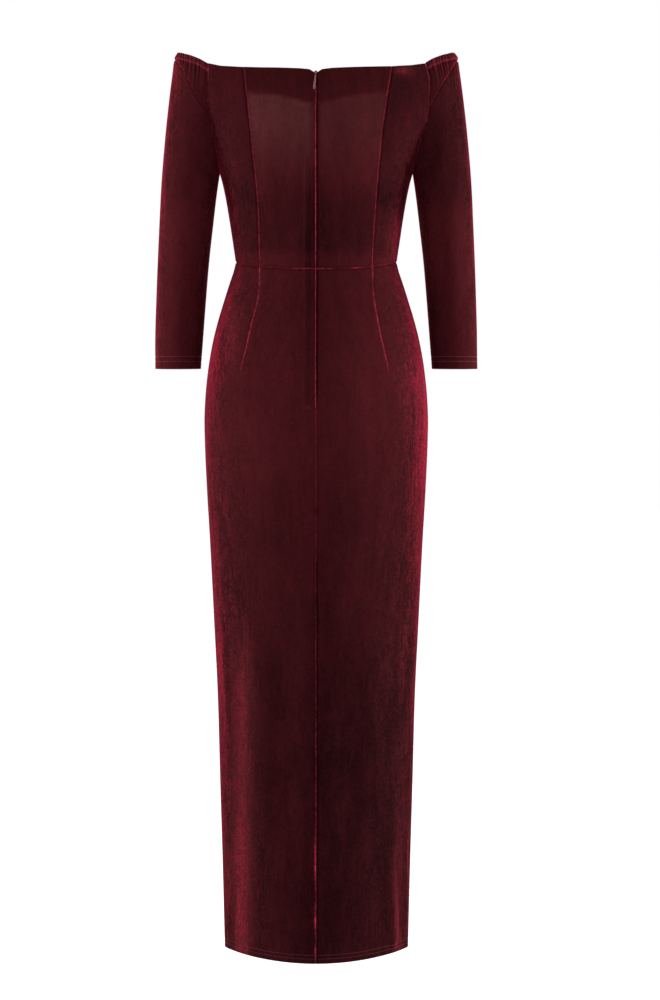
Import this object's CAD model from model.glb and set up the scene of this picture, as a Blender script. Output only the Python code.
"""Looks of the off-the-shoulder velvet column gown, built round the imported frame.

Each cloth panel of the frame is replaced by a fine closed shell on the same form, with
its seams turned in, its edges folded over, its creases, gathers, darts and zip placed
by hand. Metres, +Z up, the centre-back zip on +Y, the wearer's left on +X.
"""
import math

import bmesh
import bpy
import numpy as np
from mathutils import Euler, Matrix, Vector


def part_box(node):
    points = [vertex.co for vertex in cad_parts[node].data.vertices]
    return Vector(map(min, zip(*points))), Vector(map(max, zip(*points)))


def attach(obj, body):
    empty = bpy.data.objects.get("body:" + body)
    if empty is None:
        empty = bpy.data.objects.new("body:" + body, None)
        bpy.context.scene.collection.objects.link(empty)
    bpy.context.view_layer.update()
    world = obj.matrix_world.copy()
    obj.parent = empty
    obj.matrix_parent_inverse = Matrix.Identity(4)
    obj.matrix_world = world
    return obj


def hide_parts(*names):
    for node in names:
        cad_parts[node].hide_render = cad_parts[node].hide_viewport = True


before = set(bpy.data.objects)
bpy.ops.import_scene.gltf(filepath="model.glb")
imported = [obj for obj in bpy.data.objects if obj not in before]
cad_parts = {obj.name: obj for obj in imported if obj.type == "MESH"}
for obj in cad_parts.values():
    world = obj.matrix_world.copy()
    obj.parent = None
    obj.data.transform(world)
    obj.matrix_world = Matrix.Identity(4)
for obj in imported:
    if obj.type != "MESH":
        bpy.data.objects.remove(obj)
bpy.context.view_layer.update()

scene = bpy.context.scene
RNG = np.random.default_rng(11)

# ------------------------------------------------------------------ camera
cam_data = bpy.data.cameras.new("camera")
cam_data.lens = 77.4
cam_data.sensor_width = 36.0
cam = bpy.data.objects.new("camera", cam_data)
cam.location = (-0.0204, 3.2, -0.20348)
cam.rotation_euler = (math.radians(87.34), 0.0, math.pi)
cam_data.clip_start, cam_data.clip_end = 0.05, 60.0
scene.collection.objects.link(cam)
scene.camera = cam

# ------------------------------------------------------------------ the frame's own sizes
WALL = 0.0016
HEM_Z = -1.0240
CUFF_Z = -0.1570
UNDERARM_Z = 0.1300
UNDERARM_X = 0.1424
WAIST_DIP_BACK, WAIST_DIP_FRONT = 0.0133, 0.0100
ZIP_END_Z = -0.2130
NOTCH_Z = 0.2665
ARMHOLE_TOP_Z = 0.2832
BAND_SEAM_TOP = 0.2975
BAND_FROM = {1: (0.1575, 0.2086), -1: (0.1670, 0.2259)}
BAND_SLOPE = {1: 1.80, -1: 1.68}


class Curve:
    """Smooth value through (t, value) stations, straight past either end."""

    def __init__(self, stations):
        pts = sorted(stations)
        self.t = np.array([p[0] for p in pts], float)
        self.v = np.array([p[1] for p in pts], float)
        d = np.diff(self.v) / np.diff(self.t)
        m = np.empty(len(pts))
        m[0], m[-1] = d[0], d[-1]
        l, r = d[:-1], d[1:]
        both = np.where(l * r > 0, l + r, 1.0)
        m[1:-1] = np.where(l * r > 0, 2 * l * r / both, 0.0)
        self.m = m

    def __call__(self, t):
        t = np.asarray(t, float)
        i = np.clip(np.searchsorted(self.t, t, side="left") - 1, 0, len(self.t) - 2)
        h = self.t[i + 1] - self.t[i]
        u = np.clip((t - self.t[i]) / h, 0.0, 1.0)
        y = ((2 * u**3 - 3 * u**2 + 1) * self.v[i] + (u**3 - 2 * u**2 + u) * h * self.m[i]
             + (3 * u**2 - 2 * u**3) * self.v[i + 1] + (u**3 - u**2) * h * self.m[i + 1])
        y = np.where(t < self.t[0], self.v[0] + self.m[0] * (t - self.t[0]), y)
        return np.where(t > self.t[-1], self.v[-1] + self.m[-1] * (t - self.t[-1]), y)


def straight(stations, t):
    t = np.asarray(t, float)
    x = np.array([s[0] for s in stations])
    y = np.array([s[1] for s in stations])
    return np.interp(t, x, y)


BODICE_HALF_WIDTH = Curve([(0.0, 0.1192), (0.030, 0.1236), (0.060, 0.1281), (0.092, 0.1335),
                           (0.115, 0.1383), (UNDERARM_Z, UNDERARM_X)])
BODICE_BACK = Curve([(0.0, 0.0780), (0.040, 0.0835), (0.090, 0.0905), (0.140, 0.0955),
                     (0.190, 0.0975), (0.240, 0.0965), (0.275, 0.0942), (0.310, 0.0915)])
BODICE_FRONT = Curve([(0.0, 0.0930), (0.040, 0.0985), (0.080, 0.1075), (0.120, 0.1190),
                      (0.150, 0.1262), (0.172, 0.1285), (0.195, 0.1268), (0.230, 0.1185),
                      (0.265, 0.1080), (0.310, 0.0960)])
BODICE_BACK_LENS = Curve([(0.0, -0.15), (0.15, -0.20), (0.24, -0.10), (0.31, 0.0)])
BODICE_FRONT_LENS = Curve([(0.0, -0.10), (0.15, -0.30), (0.24, -0.15), (0.31, 0.0)])
SKIRT_HALF_WIDTH = Curve([(0.0, 0.1192), (-0.012, 0.1220), (-0.030, 0.1281), (-0.060, 0.1376),
                          (-0.090, 0.1466), (-0.120, 0.1539), (-0.160, 0.1607), (-0.200, 0.1648),
                          (-0.235, 0.1663), (-0.270, 0.1656), (-0.330, 0.1631), (-0.420, 0.1582),
                          (-0.530, 0.1529), (-0.650, 0.1474), (-0.780, 0.1442), (-0.900, 0.1410),
                          (HEM_Z, 0.1382)])
SKIRT_BACK = Curve([(0.0, 0.0780), (-0.050, 0.0925), (-0.100, 0.1080), (-0.150, 0.1195),
                    (-0.200, 0.1262), (-0.240, 0.1280), (-0.300, 0.1255), (-0.400, 0.1195),
                    (-0.550, 0.1135), (-0.750, 0.1085), (-0.900, 0.1055), (HEM_Z, 0.1035)])
SKIRT_FRONT = Curve([(0.0, 0.0930), (-0.060, 0.1000), (-0.120, 0.1045), (-0.200, 0.1052),
                     (-0.300, 0.1032), (-0.450, 0.0990), (-0.700, 0.0955), (HEM_Z, 0.0930)])
SKIRT_BACK_LENS = Curve([(0.0, -0.15), (-0.20, 0.0), (-0.50, 0.35), (-0.80, 0.60), (HEM_Z, 0.72)])
SKIRT_FRONT_LENS = Curve([(0.0, -0.10), (-0.20, 0.0), (-0.50, 0.30), (-0.80, 0.55), (HEM_Z, 0.70)])
SLEEVE_OUT = Curve([(-0.157, 0.2405), (-0.115, 0.2401), (-0.055, 0.2381), (0.0, 0.2357),
                    (0.060, 0.2325), (0.120, 0.2289), (0.180, 0.2237), (0.240, 0.2170),
                    (0.285, 0.2108), (0.298, 0.2086), (0.3070, 0.2030)])
SLEEVE_IN = Curve([(-0.157, 0.1724), (-0.115, 0.1690), (-0.055, 0.1641), (0.0, 0.1592),
                   (0.060, 0.1521), (0.095, 0.1477), (0.120, 0.1441), (UNDERARM_Z, UNDERARM_X),
                   (0.170, 0.1330), (0.215, 0.1175), (0.240, 0.1040), (0.283, 0.0720),
                   (0.307, 0.0660)])
SLEEVE_DEPTH = Curve([(-0.157, 0.0365), (-0.060, 0.0400), (0.060, 0.0445), (UNDERARM_Z, 0.0470),
                      (0.170, 0.0510), (0.215, 0.0560), (0.240, 0.0600), (0.283, 0.0680),
                      (0.307, 0.0665)])
SLEEVE_CENTRE_Y = Curve([(-0.157, -0.0200), (0.0, -0.0100), (UNDERARM_Z, 0.0), (0.307, 0.0)])
PRINCESS = {1: Curve([(-0.020, 0.0823), (0.068, 0.0840), (0.158, 0.0918), (0.275, 0.1037)]),
            -1: Curve([(-0.020, 0.0820), (0.014, 0.0833), (0.170, 0.0945), (0.275, 0.1093)])}
ARMHOLE = {1: Curve([(UNDERARM_Z, UNDERARM_X), (0.161, 0.1464), (0.206, 0.1530),
                     (0.223, 0.1577), (0.283, 0.1556)]),
           -1: Curve([(UNDERARM_Z, UNDERARM_X), (0.165, 0.1500), (0.218, 0.1640),
                      (0.255, 0.1650), (0.283, 0.1585)])}
BAND_NECK = Curve([(0.150, 0.2805), (0.1565, 0.2832), (0.168, 0.2900), (0.180, 0.2958),
                   (0.192, 0.3008), (0.203, 0.3055), (0.220, 0.3062)])
BACK_NECK = {1: [(0.0, 0.2665), (0.0026, 0.2665), (0.009, 0.2704), (0.023, 0.2719),
                 (0.050, 0.2731), (0.080, 0.2741), (0.110, 0.2757), (0.138, 0.2785),
                 (0.1556, ARMHOLE_TOP_Z)],
             -1: [(0.0, 0.2665), (0.0026, 0.2665), (0.009, 0.2706), (0.023, 0.2724),
                  (0.050, 0.2739), (0.080, 0.2752), (0.110, 0.2766), (0.138, 0.2793),
                  (0.1585, ARMHOLE_TOP_Z)]}
FRONT_NECK = [(0.0, 0.2640), (0.050, 0.2656), (0.100, 0.2706), (0.140, 0.2778),
              (0.157, ARMHOLE_TOP_Z)]
# back skirt darts, (height, distance from the centre)
DART = {1: Curve([(-0.1586, 0.1088), (-0.0864, 0.0920), (-0.0442, 0.0832), (-0.0104, 0.0825)]),
        -1: Curve([(-0.1572, 0.1049), (-0.0807, 0.0889), (-0.0442, 0.0841), (-0.0118, 0.0830)])}
DART_END = {1: -0.1586, -1: -0.1572}


# ------------------------------------------------------------------ the form, on arrays
def bump(t):
    """A smooth step from 0 to 1."""
    t = np.clip(t, 0.0, 1.0)
    return t * t * (3 - 2 * t)


def waist_z(s):
    dip = np.where(np.cos(s) >= 0, WAIST_DIP_BACK, WAIST_DIP_FRONT)
    return -dip * (1 - np.abs(np.sin(s)) ** 3)


def form_height(s, z):
    k = np.clip((0.12 - np.abs(z)) / 0.09, 0.0, 1.0)
    return z - waist_z(s) * k * k * (3 - 2 * k)


def sleeve_oval(z):
    xo, xi = SLEEVE_OUT(z), SLEEVE_IN(z)
    return (xo + xi) / 2 + 0.0002, (xo - xi) / 2, SLEEVE_CENTRE_Y(z), SLEEVE_DEPTH(z)


def cut_angle(side, z):
    xc, rx, _, _ = sleeve_oval(z)
    a = np.arccos(np.clip((ARMHOLE[side](z) - xc) / rx, -1.0, 1.0))
    return np.where(z <= UNDERARM_Z, math.pi, a)


def sleeve_point(side, phi, z):
    xc, rx, yc, ry = sleeve_oval(z)
    return np.stack([side * (xc + rx * np.cos(phi)), yc + ry * np.sin(phi), z + 0 * phi], -1)


def armhole_width(side, front, z, depth, lens):
    xc, rx, yc, ry = sleeve_oval(z)
    ya = np.abs(ry * np.sin(cut_angle(side, z)) + np.where(front, -yc, yc)) / depth
    safe = np.where(np.abs(lens) < 1e-6, 1.0, lens)
    c = np.where(np.abs(lens) < 1e-6, ya,
                 (-(1 - lens) + np.sqrt(np.maximum((1 - lens) ** 2 + 4 * lens * ya, 0))) / (2 * safe))
    s = np.arccos(np.clip(c, 0.0, 1.0))
    return ARMHOLE[side](z) / np.sin(s), s


def armhole_angle(side, front, z):
    depth = (BODICE_FRONT if front else BODICE_BACK)(z)
    lens = (BODICE_FRONT_LENS if front else BODICE_BACK_LENS)(z)
    s = armhole_width(side, np.full(np.shape(z), front), z, depth, lens)[1]
    s = math.pi - s if front else s
    return np.where(z <= UNDERARM_Z, math.pi / 2, s)


def body_point(side, s, z, part):
    s, z = np.broadcast_arrays(np.asarray(s, float), np.asarray(z, float))
    c, sn = np.cos(s), np.sin(s)
    front = c < 0
    h = form_height(s, z)
    if part == "skirt":
        a = SKIRT_HALF_WIDTH(h)
        depth = np.where(front, SKIRT_FRONT(h), SKIRT_BACK(h))
        lens = np.where(front, SKIRT_FRONT_LENS(h), SKIRT_BACK_LENS(h))
    else:
        depth = np.where(front, BODICE_FRONT(h), BODICE_BACK(h))
        lens = np.where(front, BODICE_FRONT_LENS(h), BODICE_BACK_LENS(h))
        a = np.where(z <= UNDERARM_Z, BODICE_HALF_WIDTH(h),
                     armhole_width(side, front, z, depth, lens)[0])
    k = (1 - lens) * np.abs(c) + lens * c * c
    return np.stack([side * a * sn, np.copysign(depth * k, c), z], -1)


def angle_at(side, x, z, part, front=False):
    """Angle where the form is x from the centre, on the back or on the front."""
    x, z = np.broadcast_arrays(np.abs(np.asarray(x, float)), np.asarray(z, float))
    lo, hi = np.zeros(x.shape), np.full(x.shape, math.pi / 2)
    for _ in range(24):
        mid = (lo + hi) / 2
        at = np.abs(body_point(side, math.pi - mid if front else mid, z, part)[..., 0])
        lo, hi = np.where(at < x, mid, lo), np.where(at < x, hi, mid)
    mid = (lo + hi) / 2
    return math.pi - mid if front else mid


def neck_z(side, s, z):
    x = np.abs(body_point(side, s, z, "bodice")[..., 0])
    return np.where(np.cos(s) >= 0, straight(BACK_NECK[side], x), straight(FRONT_NECK, x))


def facing_out(n, away):
    n = n / np.maximum(np.linalg.norm(n, axis=-1, keepdims=True), 1e-12)
    return n * np.where((n[..., :2] * away[..., :2]).sum(-1) < 0, -1.0, 1.0)[..., None]


def body_normal(side, s, z, part):
    a = body_point(side, s + 1e-3, z, part) - body_point(side, s - 1e-3, z, part)
    b = body_point(side, s, z + 1e-4, part) - body_point(side, s, z - 1e-4, part)
    return facing_out(np.cross(a, b), body_point(side, s, z, part))


def sleeve_normal(side, phi, z):
    a = sleeve_point(side, phi + 1e-3, z) - sleeve_point(side, phi - 1e-3, z)
    b = sleeve_point(side, phi, z + 1e-4) - sleeve_point(side, phi, z - 1e-4)
    xc, _, yc, _ = sleeve_oval(z)
    axis = np.stack([side * xc, yc, z], -1)
    return facing_out(np.cross(a, b), sleeve_point(side, phi, z) - axis)


def armhole_turn(side, front, z, own):
    """Way that cloth is turned in at the armhole: between the body's way and the sleeve's.

    At the underarm they face each other, and the seam isn't turned in at all.
    """
    zc = np.maximum(z, UNDERARM_Z + 0.0008)
    nb = body_normal(side, armhole_angle(side, front, zc), zc, "bodice")
    ns = sleeve_normal(side, (-1 if front else 1) * cut_angle(side, zc), zc)
    above = (nb + ns) / 2
    fade = bump((UNDERARM_Z - z) / 0.014)[..., None]
    return np.where((z > UNDERARM_Z)[..., None], above * bump((z - UNDERARM_Z) / 0.010)[..., None], own * fade)


def waist_turn(side, s):
    w = waist_z(s)
    return (body_normal(side, s, w + 0.0015, "bodice") + body_normal(side, s, w - 0.0015, "skirt")) / 2


def waist_turns(row):
    """The same for each point of a panel's edge on the waist seam."""
    out = np.zeros(row.shape)
    s = np.arcsin(np.clip(np.abs(row[:, 0]) / 0.1192, 0, 1))
    s = np.where(row[:, 1] < 0, math.pi - s, s)
    for side in (1, -1):
        mine = (row[:, 0] * side) >= 0
        if mine.any():
            out[mine] = waist_turn(side, s[mine])
    return out


# Places on the finished form, for creases and marks.
def on_body(x, z, front=False):
    side = 1 if x >= 0 else -1
    lift = float(waist_z(math.pi if front else 0.0))
    part = "bodice" if z > lift * (1 - min(1.0, abs(x) / 0.12) ** 3) else "skirt"
    s = angle_at(side, abs(x), z, part, front)
    return body_point(side, s, z, part)


def on_sleeve(side, deg, z):
    """deg 0 is the outer side, 90 the back, -90 the front, 180 the body side."""
    return sleeve_point(side, np.asarray(math.radians(deg)), np.asarray(float(z)))


# ------------------------------------------------------------------ rows and columns
SEWN = [0.0, 0.0003, 0.0007, 0.0012, 0.0018, 0.0026, 0.0038, 0.0056, 0.0080, 0.0092]
FREE = [0.0, 0.00008, 0.00025, 0.0005, 0.0009, 0.0020, 0.0040, 0.0060, 0.0085, 0.0095, 0.0105, 0.0125]


def spaced(total, start, end, step, keep=()):
    """Shares from 0 to 1 of a length: close together near both ends, step apart between."""
    lo = [e for e in start if e < 0.45 * total]
    hi = [total - e for e in end if e < 0.45 * total]
    marks = [lo[-1], *sorted(k for k in keep if lo[-1] + 0.3 * step < k < min(hi) - 0.3 * step), min(hi)]
    mid = []
    for a, b in zip(marks, marks[1:]):
        n = max(1, int(math.ceil((b - a) / step)))
        mid += [a + (b - a) * k / n for k in range(1, n)]
        mid.append(b)
    return np.array(sorted(set(lo + mid[:-1] + hi))) / total


def lengths(P, axis):
    """Distance of each grid point from the first one along its row or column."""
    d = np.linalg.norm(np.diff(P, axis=axis), axis=-1)
    out = np.cumsum(d, axis=axis)
    pad = [(0, 0), (0, 0)]
    pad[axis] = (1, 0)
    return np.pad(out, pad)


def grid_normals(P, centre):
    du = np.gradient(P, axis=1)
    dv = np.gradient(P, axis=0)
    n = np.cross(du, dv)
    n /= np.maximum(np.linalg.norm(n, axis=-1, keepdims=True), 1e-12)
    away = P - centre
    away[..., 2] = 0
    if (n * away).sum() < 0:
        n = -n
    return n


# ------------------------------------------------------------------ creases, placed by hand
# Each: points on the form, height (a trough is negative), half width of its profile.
CREASES = []


def crease(points, height, width):
    CREASES.append((np.array([np.asarray(p, float).reshape(3) for p in points]), height, width))


def crease_height(P):
    flat = P.reshape(-1, 3)
    out = np.zeros(len(flat))
    for pts, height, width in CREASES:
        lo, hi = pts.min(0) - 3 * width, pts.max(0) + 3 * width
        inside = np.all((flat > lo) & (flat < hi), axis=1)
        if not inside.any():
            continue
        q = flat[inside]
        seg = np.linalg.norm(np.diff(pts, axis=0), axis=1)
        start = np.concatenate([[0], np.cumsum(seg)])
        best, where = np.full(len(q), 1e9), np.zeros(len(q))
        for k in range(len(pts) - 1):
            a, b = pts[k], pts[k + 1]
            t = np.clip(((q - a) @ (b - a)) / max(seg[k] ** 2, 1e-12), 0, 1)
            d = np.linalg.norm(q - (a + t[:, None] * (b - a)), axis=1)
            closer = d < best
            best = np.where(closer, d, best)
            where = np.where(closer, start[k] + t * seg[k], where)
        u = where / start[-1]
        ends = bump(u / 0.28) * bump((1 - u) / 0.28)
        out[inside] += height * np.exp(-((best / width) ** 2)) * ends
    return out.reshape(P.shape[:-1])


B = on_body


def F(x, z):
    return on_body(x, z, True)


# back bodice: drag lines into the side seams and just above the waist
crease([B(0.128, 0.030), B(0.112, 0.040), B(0.094, 0.058)], -0.0011, 0.0050)
crease([B(0.126, 0.044), B(0.110, 0.056), B(0.096, 0.078)], 0.0009, 0.0055)
crease([B(-0.122, 0.020), B(-0.110, 0.032), B(-0.096, 0.056)], -0.0012, 0.0050)
crease([B(-0.126, 0.036), B(-0.113, 0.050), B(-0.098, 0.082)], 0.0012, 0.0060)
crease([B(-0.128, 0.052), B(-0.114, 0.070), B(-0.104, 0.098)], -0.0008, 0.0050)
crease([B(0.136, 0.112), B(0.122, 0.132), B(0.112, 0.160)], -0.0009, 0.0060)
crease([B(-0.138, 0.118), B(-0.126, 0.142), B(-0.116, 0.176)], -0.0009, 0.0060)
crease([B(-0.146, 0.158), B(-0.134, 0.182), B(-0.126, 0.214)], 0.0008, 0.0055)
crease([B(0.060, 0.020), B(0.040, 0.034), B(0.022, 0.062)], -0.0006, 0.0060)
crease([B(0.052, 0.052), B(0.038, 0.072), B(0.024, 0.112)], 0.0006, 0.0060)
crease([B(-0.060, 0.018), B(-0.042, 0.028), B(-0.020, 0.050)], -0.0005, 0.0060)
# back skirt: under the waist, under the seat, down the legs, at the hem's right edge
crease([B(0.110, -0.020), B(0.096, -0.030), B(0.072, -0.040)], -0.0007, 0.0050)
crease([B(-0.112, -0.022), B(-0.098, -0.034), B(-0.070, -0.046)], -0.0007, 0.0050)
crease([B(0.100, -0.300), B(0.070, -0.325), B(0.030, -0.335)], -0.0011, 0.0120)
crease([B(-0.108, -0.298), B(-0.074, -0.322), B(-0.034, -0.330)], -0.0011, 0.0120)
crease([B(0.096, -0.430), B(0.086, -0.620), B(0.080, -0.900)], 0.0018, 0.0200)
crease([B(0.050, -0.460), B(0.046, -0.650), B(0.046, -0.880)], -0.0016, 0.0200)
crease([B(-0.090, -0.420), B(-0.086, -0.620), B(-0.084, -0.860)], 0.0014, 0.0220)
crease([B(-0.048, -0.500), B(-0.046, -0.700), B(-0.050, -0.930)], -0.0014, 0.0220)
crease([B(-0.117, -0.860), B(-0.124, -0.930), B(-0.128, -1.030)], -0.0026, 0.0060)
crease([B(-0.104, -0.880), B(-0.110, -0.950), B(-0.116, -1.040)], 0.0022, 0.0070)
crease([B(-0.132, -0.840), B(-0.134, -0.920), B(-0.135, -1.000)], 0.0016, 0.0050)
crease([B(0.118, -0.900), B(0.122, -0.960), B(0.126, -1.050)], -0.0014, 0.0070)
crease([B(0.140, -0.520), B(0.132, -0.640), B(0.122, -0.740)], 0.0012, 0.0090)
crease([B(-0.142, -0.500), B(-0.134, -0.600), B(-0.130, -0.700)], -0.0010, 0.0090)
crease([B(-0.146, -0.380), B(-0.130, -0.420), B(-0.118, -0.480)], -0.0009, 0.0080)
crease([B(0.150, -0.330), B(0.136, -0.370), B(0.124, -0.430)], -0.0009, 0.0080)
# front bodice: below the bust and into the waist darts
crease([F(0.128, 0.040), F(0.112, 0.056), F(0.092, 0.074)], -0.0011, 0.0055)
crease([F(-0.128, 0.036), F(-0.112, 0.052), F(-0.090, 0.072)], -0.0011, 0.0055)
crease([F(0.134, 0.086), F(0.118, 0.100), F(0.096, 0.112)], 0.0008, 0.0060)
crease([F(-0.134, 0.090), F(-0.116, 0.104), F(-0.096, 0.114)], 0.0008, 0.0060)
crease([F(0.046, 0.024), F(0.020, 0.036), F(-0.012, 0.038)], -0.0007, 0.0065)
crease([F(-0.044, 0.052), F(-0.014, 0.060), F(0.022, 0.054)], -0.0006, 0.0065)
crease([F(0.070, 0.226), F(0.096, 0.234), F(0.128, 0.238)], -0.0008, 0.0070)
crease([F(-0.074, 0.228), F(-0.100, 0.236), F(-0.132, 0.240)], -0.0008, 0.0070)
# front skirt: across the lap and down the legs
crease([F(0.098, -0.150), F(0.050, -0.168), F(0.006, -0.166)], -0.0010, 0.0120)
crease([F(-0.100, -0.146), F(-0.054, -0.170), F(-0.012, -0.176)], -0.0009, 0.0120)
crease([F(0.104, -0.200), F(0.060, -0.226), F(0.014, -0.232)], 0.0008, 0.0130)
crease([F(0.078, -0.360), F(0.082, -0.600), F(0.084, -0.900)], 0.0022, 0.0220)
crease([F(0.020, -0.400), F(0.016, -0.660), F(0.018, -0.960)], -0.0022, 0.0240)
crease([F(-0.070, -0.380), F(-0.078, -0.600), F(-0.080, -0.900)], 0.0022, 0.0220)
crease([F(-0.118, -0.560), F(-0.120, -0.760), F(-0.118, -1.000)], -0.0016, 0.0140)
crease([F(0.120, -0.620), F(0.121, -0.800), F(0.119, -1.010)], -0.0014, 0.0140)
crease([F(-0.030, -0.840), F(-0.034, -0.930), F(-0.036, -1.040)], -0.0018, 0.0100)
crease([F(0.054, -0.860), F(0.058, -0.940), F(0.060, -1.040)], 0.0016, 0.0110)
# sleeves: under the arm, at the elbow, above the cuff
for sd in (1, -1):
    crease([on_sleeve(sd, 172, 0.118), on_sleeve(sd, 130, 0.132), on_sleeve(sd, 92, 0.156)],
           -0.0013 if sd > 0 else -0.0009, 0.0050)
    crease([on_sleeve(sd, 168, 0.098), on_sleeve(sd, 128, 0.112), on_sleeve(sd, 86, 0.140)],
           0.0012 if sd > 0 else 0.0008, 0.0055)
    crease([on_sleeve(sd, 165, 0.078), on_sleeve(sd, 128, 0.088), on_sleeve(sd, 96, 0.108)],
           -0.0008, 0.0050)
    crease([on_sleeve(sd, -172, 0.116), on_sleeve(sd, -134, 0.132), on_sleeve(sd, -92, 0.160)],
           -0.0013, 0.0055)
    crease([on_sleeve(sd, -166, 0.092), on_sleeve(sd, -130, 0.106), on_sleeve(sd, -88, 0.132)],
           0.0011, 0.0055)
    crease([on_sleeve(sd, -100, 0.020), on_sleeve(sd, -140, 0.010), on_sleeve(sd, -174, 0.014)],
           -0.0014, 0.0055)
    crease([on_sleeve(sd, -96, 0.000), on_sleeve(sd, -138, -0.010), on_sleeve(sd, -172, -0.006)],
           0.0012, 0.0060)
    crease([on_sleeve(sd, -92, -0.022), on_sleeve(sd, -134, -0.030), on_sleeve(sd, -170, -0.024)],
           -0.0012, 0.0055)
    crease([on_sleeve(sd, 100, 0.004), on_sleeve(sd, 134, -0.004), on_sleeve(sd, 168, -0.002)],
           -0.0006, 0.0060)
    crease([on_sleeve(sd, 20, -0.020), on_sleeve(sd, 60, -0.050), on_sleeve(sd, 88, -0.096)],
           -0.0007, 0.0090)
    crease([on_sleeve(sd, -10, 0.060), on_sleeve(sd, -52, 0.030), on_sleeve(sd, -84, -0.010)],
           -0.0008, 0.0100)
    crease([on_sleeve(sd, 150, -0.100), on_sleeve(sd, 112, -0.112), on_sleeve(sd, 74, -0.110)],
           -0.0005, 0.0070)
    crease([on_sleeve(sd, 60, 0.200), on_sleeve(sd, 66, 0.160), on_sleeve(sd, 74, 0.110)],
           -0.0007, 0.0090)

# A slow unevenness of the whole cloth, mostly across, so that it hangs and isn't drawn.
WAVES = [(RNG.uniform(28, 66), RNG.uniform(-14, 14), RNG.uniform(0, 6.28)) for _ in range(7)]


def unevenness(P):
    x = np.arctan2(P[..., 1], P[..., 0]) * 0.13
    z = P[..., 2]
    out = 0
    for kx, kz, ph in WAVES:
        out = out + np.sin(kx * x * 1.3 + kz * z + ph)
    return out / len(WAVES)


# ------------------------------------------------------------------ shells
ATTRS = ("seam", "nap", "pale", "rim")


def side_share(P):
    """0 at the centre line, 1 at the side seams of the body."""
    z = P[..., 2]
    a = np.where(z > 0, BODICE_HALF_WIDTH(np.minimum(z, UNDERARM_Z)), SKIRT_HALF_WIDTH(z))
    return np.clip(np.abs(P[..., 0]) / a, 0, 1.2)


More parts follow.
